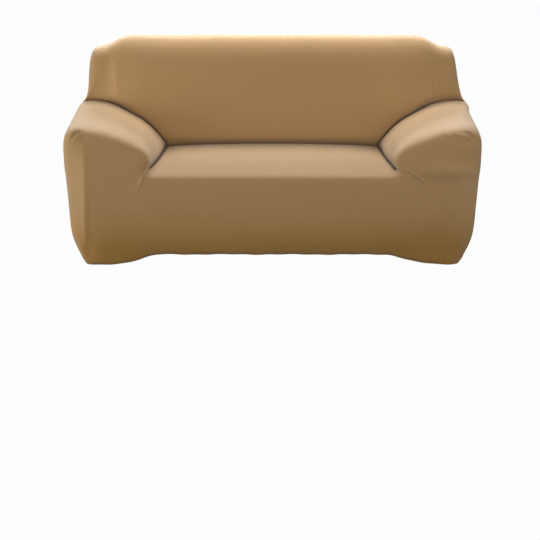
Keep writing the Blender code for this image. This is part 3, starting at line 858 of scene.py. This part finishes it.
def knit_tone_and_painted_shade(tree, cloth, check, place_on_cover):
    """The knit's colour: uneven by its check and soft clouds, with painted shade that deepens it towards the
    hem and in the creases.
    """
    cloud = tree.nodes.new("ShaderNodeTexNoise")
    cloud.inputs["Scale"].default_value = CLOUD_SCALE
    cloud.inputs["Detail"].default_value = CLOUD_DETAIL
    tree.links.new(place_on_cover, cloud.inputs["Vector"])
    checked = math_node(tree, "MULTIPLY", check, cloth.check_contrast)
    clouded = math_node(tree, "MULTIPLY", math_node(tree, "SUBTRACT", cloud.outputs[0], 0.5), cloth.mottle)
    share = math_node(tree, "ADD", math_node(tree, "ADD", checked, clouded), 0.5)
    dark = [(1.0 - TONE_RANGE) * value for value in cloth.colour]
    light = [(1.0 + TONE_RANGE) * value for value in cloth.colour]
    even = colour_mix(tree, share, dark, light)
    # Painted shade: the colour is multiplied darker towards the hem, between two heights above the floor.
    parts = tree.nodes.new("ShaderNodeSeparateXYZ")
    tree.links.new(place_on_cover, parts.inputs[0])
    fall = tree.nodes.new("ShaderNodeMapRange")
    fall.interpolation_type = "SMOOTHSTEP"
    fall.inputs["From Min"].default_value = FLOOR_Z + HEM_SHADE_HEIGHTS[1]
    fall.inputs["From Max"].default_value = FLOOR_Z + HEM_SHADE_HEIGHTS[0]
    tree.links.new(parts.outputs["Z"], fall.inputs["Value"])
    hem_shaded = colour_mix(tree, fall.outputs["Result"], even, cloth.hem_painted_shade, "MULTIPLY")
    # Painted shade in the creases, from the shade stored on the points.
    crease_shade_node = tree.nodes.new("ShaderNodeAttribute")
    crease_shade_node.attribute_name = CREASE_SHADE_ATTRIBUTE
    return colour_mix(tree, crease_shade_node.outputs["Fac"], hem_shaded, cloth.crease_painted_shade, "MULTIPLY")


def knit_material(cloth):
    """Tan stretch knit: matt, with a soft bloom of fibres, fine loops and a faint check."""
    material = bpy.data.materials.get("tan_stretch_knit_look")
    if material:
        return material
    material = bpy.data.materials.new("tan_stretch_knit_look")
    material.use_nodes = True
    tree = material.node_tree
    shader = tree.nodes["Principled BSDF"]
    shader.inputs["Roughness"].default_value = cloth.roughness
    shader.inputs["Specular IOR Level"].default_value = GLOSS
    shader.inputs["Sheen Weight"].default_value = cloth.bloom
    shader.inputs["Sheen Roughness"].default_value = cloth.bloom_spread
    shader.inputs["Sheen Tint"].default_value = (*cloth.bloom_colour, 1.0)
    flat = tree.nodes.new("ShaderNodeUVMap")
    flat.uv_map = CLOTH_MAP
    knit = tree.nodes.new("ShaderNodeGroup")
    knit.node_tree = knit_group()
    knit.inputs["Loop Pitch"].default_value = cloth.loop_pitch
    knit.inputs["Check Pitch"].default_value = cloth.check_pitch
    tree.links.new(flat.outputs[0], knit.inputs["Cloth Place"])
    coordinates = tree.nodes.new("ShaderNodeTexCoord")
    # The knit's own tone, with the painted shade by the hem and in the creases.
    tone = knit_tone_and_painted_shade(tree, cloth, knit.outputs["Check"], coordinates.outputs["Object"])
    tree.links.new(tone, shader.inputs["Base Color"])
    bump = tree.nodes.new("ShaderNodeBump")
    bump.inputs["Strength"].default_value = cloth.loop_relief
    bump.inputs["Distance"].default_value = LOOP_DEPTH
    tree.links.new(knit.outputs["Height"], bump.inputs["Height"])
    tree.links.new(bump.outputs["Normal"], shader.inputs["Normal"])
    return material


def pale_where_seen(tree, unseen, pale, output, strength):
    """Gives the output the pale shader where the camera looks, and the other one for all other light."""
    pale.inputs["Color"].default_value = (1.0, 1.0, 1.0, 1.0)
    pale.inputs["Strength"].default_value = strength
    path = tree.nodes.new("ShaderNodeLightPath")
    blend = tree.nodes.new("ShaderNodeMixShader")
    tree.links.new(path.outputs["Is Camera Ray"], blend.inputs[0])
    tree.links.new(unseen.outputs[0], blend.inputs[1])
    tree.links.new(pale.outputs[0], blend.inputs[2])
    tree.links.new(blend.outputs[0], tree.nodes[output].inputs["Surface"])


def pale_floor(studio):
    """An even pale floor, far wider than the cover."""
    bpy.ops.mesh.primitive_plane_add(size=FLOOR_WIDTH, location=(0.0, 0.0, FLOOR_Z))
    floor = bpy.context.object
    floor.name = "studio_floor"
    material = bpy.data.materials.new("pale_floor")
    material.use_nodes = True
    tree = material.node_tree
    shader = tree.nodes["Principled BSDF"]
    shader.inputs["Base Color"].default_value = (*studio.floor_colour, 1.0)
    shader.inputs["Roughness"].default_value = 1.0
    shader.inputs["Specular IOR Level"].default_value = 0.0
    glow = tree.nodes.new("ShaderNodeEmission")
    pale_where_seen(tree, shader, glow, "Material Output", studio.floor_glow)
    floor.data.materials.append(material)


def pale_wall(studio):
    """All round above the floor: as pale as the floor where it is seen, and without light of its own."""
    world = bpy.data.worlds.new("pale_wall")
    world.use_nodes = True
    tree = world.node_tree
    dark = tree.nodes["Background"]
    dark.inputs["Strength"].default_value = 0.0
    pale = tree.nodes.new("ShaderNodeBackground")
    pale_where_seen(tree, dark, pale, "World Output", studio.floor_glow)
    bpy.context.scene.world = world


def soft_light(name, power, size, place_at, faces):
    """A soft oblong light of the given power in watts, which faces a point."""
    bpy.ops.object.light_add(type="AREA", location=place_at)
    light = bpy.context.object
    light.name = name
    light.data.energy = power
    light.data.shape = "RECTANGLE"
    light.data.size, light.data.size_y = size
    aim = Vector(faces) - Vector(place_at)
    light.rotation_euler = aim.to_track_quat("-Z", "Y").to_euler()


def studio_camera():
    """The camera, where the photograph's was."""
    data = bpy.data.cameras.new("photo_camera")
    data.lens = CAMERA_LENS
    data.clip_end = CAMERA_REACH
    camera = bpy.data.objects.new("photo_camera", data)
    bpy.context.scene.collection.objects.link(camera)
    camera.location = CAMERA_PLACE
    camera.rotation_euler = (math.radians(90.0 - CAMERA_PITCH), 0.0, math.radians(CAMERA_TURN))
    bpy.context.scene.camera = camera


class CoverShape(bpy.types.PropertyGroup):
    smoothing: bpy.props.IntProperty(
        name="Smoothing", description="How many times the block's faces are split", default=4, min=1, max=4)
    crease_scale: bpy.props.FloatProperty(
        name="Creases", description="How deep the cloth goes into the creases", default=1.0)
    fold_scale: bpy.props.FloatProperty(
        name="Folds", description="How high the gathers, ridges and puckers are", default=1.0)


class CoverCloth(bpy.types.PropertyGroup):
    colour: bpy.props.FloatVectorProperty(
        name="Colour", description="Colour of the knit", subtype="COLOR", size=3,
        default=(0.427, 0.258, 0.110), min=0.0, max=1.0)
    # Painted shade near the hem: how much of the colour is left there.
    hem_painted_shade: bpy.props.FloatVectorProperty(
        name="Low tone", description="How much of that colour is left near the hem", subtype="COLOR", size=3,
        default=(0.92, 0.80, 0.42), min=0.0, max=1.0)
    # Painted shade in the creases: how much of the colour is left there.
    crease_painted_shade: bpy.props.FloatVectorProperty(
        name="Tuck tone", description="How much of that colour is left in a crease", subtype="COLOR", size=3,
        default=(0.55, 0.42, 0.25), min=0.0, max=1.0)
    roughness: bpy.props.FloatProperty(
        name="Roughness", description="How matt the knit is", subtype="FACTOR",
        default=0.85, min=0.0, max=1.0)
    bloom: bpy.props.FloatProperty(
        name="Bloom", description="Strength of the pale bloom of loose fibres", subtype="FACTOR",
        default=0.25, min=0.0, max=1.0)
    bloom_spread: bpy.props.FloatProperty(
        name="Bloom spread", description="How far from the edge the bloom reaches", subtype="FACTOR",
        default=0.5, min=0.0, max=1.0)
    bloom_colour: bpy.props.FloatVectorProperty(
        name="Bloom colour", description="Colour of the bloom", subtype="COLOR", size=3,
        default=(0.8, 0.95, 1.0), min=0.0, max=1.0)
    loop_pitch: bpy.props.FloatProperty(
        name="Loop pitch", description="Width of one loop of the knit", unit="LENGTH", default=0.0024)
    loop_relief: bpy.props.FloatProperty(
        name="Loop relief", description="Strength of the loops' relief", subtype="FACTOR", default=0.4)
    check_pitch: bpy.props.FloatProperty(
        name="Check pitch", description="Width of the faint check", unit="LENGTH", default=0.014)
    check_contrast: bpy.props.FloatProperty(
        name="Check contrast", description="How plain the check is", subtype="FACTOR", default=0.045)
    mottle: bpy.props.FloatProperty(
        name="Mottle", description="How uneven the colour is", subtype="FACTOR", default=0.12)


class CoverStudio(bpy.types.PropertyGroup):
    over_back_light: bpy.props.FloatProperty(
        name="Light over the back", description="Power of the narrow light over the back", default=43.0)
    top_light: bpy.props.FloatProperty(
        name="Top light", description="Power of the light overhead", default=13.3)
    rear_light: bpy.props.FloatProperty(
        name="Rear light", description="Power of the light behind", default=190.0)
    high_rear_light: bpy.props.FloatProperty(
        name="High rear light", description="Power of the light high behind", default=8.0)
    front_light: bpy.props.FloatProperty(
        name="Front light", description="Power of the light beside the camera", default=114.0)
    left_front_light: bpy.props.FloatProperty(
        name="Left front light", description="Power of the light on the left of the camera", default=24.0)
    left_light: bpy.props.FloatProperty(
        name="Left light", description="Power of the light on the left", default=64.0)
    right_light: bpy.props.FloatProperty(
        name="Right light", description="Power of the light on the right", default=24.0)
    floor_colour: bpy.props.FloatVectorProperty(
        name="Floor colour", description="Colour of the floor where it reflects", subtype="COLOR", size=3,
        default=(0.12, 0.12, 0.12), min=0.0, max=1.0)
    floor_glow: bpy.props.FloatProperty(
        name="Floor glow", description="How bright the floor looks", default=0.98)


class CoverSettings(bpy.types.PropertyGroup):
    shape: bpy.props.PointerProperty(type=CoverShape)
    cloth: bpy.props.PointerProperty(type=CoverCloth)
    studio: bpy.props.PointerProperty(type=CoverStudio)


class SLIPCOVER_OT_seat_and_front(bpy.types.Operator):
    """Builds the panel over the seat, the skirt and the faces of both arms"""
    bl_idname = "slipcover.seat_and_front"
    bl_label = "Seat and front panel"

    def execute(self, context):
        build_panel("seat_and_front", context.scene.slipcover)
        return {"FINISHED"}


class SLIPCOVER_OT_back(bpy.types.Operator):
    """Builds the inside and the outside panel of the back"""
    bl_idname = "slipcover.back"
    bl_label = "Back panels"

    def execute(self, context):
        build_panel("inside_back", context.scene.slipcover)
        build_panel("outside_back", context.scene.slipcover)
        return {"FINISHED"}


class SLIPCOVER_OT_arms(bpy.types.Operator):
    """Builds the panels over the two arms"""
    bl_idname = "slipcover.arms"
    bl_label = "Arm panels"

    def execute(self, context):
        build_panel("left_arm", context.scene.slipcover)
        build_panel("right_arm", context.scene.slipcover)
        return {"FINISHED"}


class SLIPCOVER_OT_studio(bpy.types.Operator):
    """Builds the pale floor, the soft lights and the camera"""
    bl_idname = "slipcover.studio"
    bl_label = "Studio"

    def execute(self, context):
        studio = context.scene.slipcover.studio
        pale_floor(studio)
        pale_wall(studio)
        for name, size, place_at, faces in LIGHTS:
            soft_light(name, getattr(studio, name), size, place_at, faces)
        studio_camera()
        context.scene.view_settings.view_transform = "Standard"
        return {"FINISHED"}


class SLIPCOVER_PT_sidebar(bpy.types.Panel):
    """Lists the cover's settings and the steps that build it"""
    bl_idname = "SLIPCOVER_PT_sidebar"
    bl_label = "Sofa slipcover"
    bl_space_type = "VIEW_3D"
    bl_region_type = "UI"
    bl_category = "Slipcover"

    def draw(self, context):
        settings = context.scene.slipcover
        for group in (settings.shape, settings.cloth, settings.studio):
            box = self.layout.box()
            for name in group.__annotations__:
                box.prop(group, name)
        for operator in STEPS:
            self.layout.operator(operator.bl_idname)


STEPS = (SLIPCOVER_OT_seat_and_front, SLIPCOVER_OT_back, SLIPCOVER_OT_arms, SLIPCOVER_OT_studio)
CLASSES = (CoverShape, CoverCloth, CoverStudio, CoverSettings, *STEPS, SLIPCOVER_PT_sidebar)


def register():
    for each in CLASSES:
        bpy.utils.register_class(each)
    bpy.types.Scene.slipcover = bpy.props.PointerProperty(type=CoverSettings)


def unregister():
    del bpy.types.Scene.slipcover
    for each in reversed(CLASSES):
        bpy.utils.unregister_class(each)


def main():
    """Builds the cover's looks and its studio."""
    register()
    bpy.ops.object.select_all(action="DESELECT")
    bpy.ops.slipcover.seat_and_front()
    bpy.ops.slipcover.back()
    bpy.ops.slipcover.arms()
    bpy.ops.slipcover.studio()


if __name__ == "__main__":
    main()
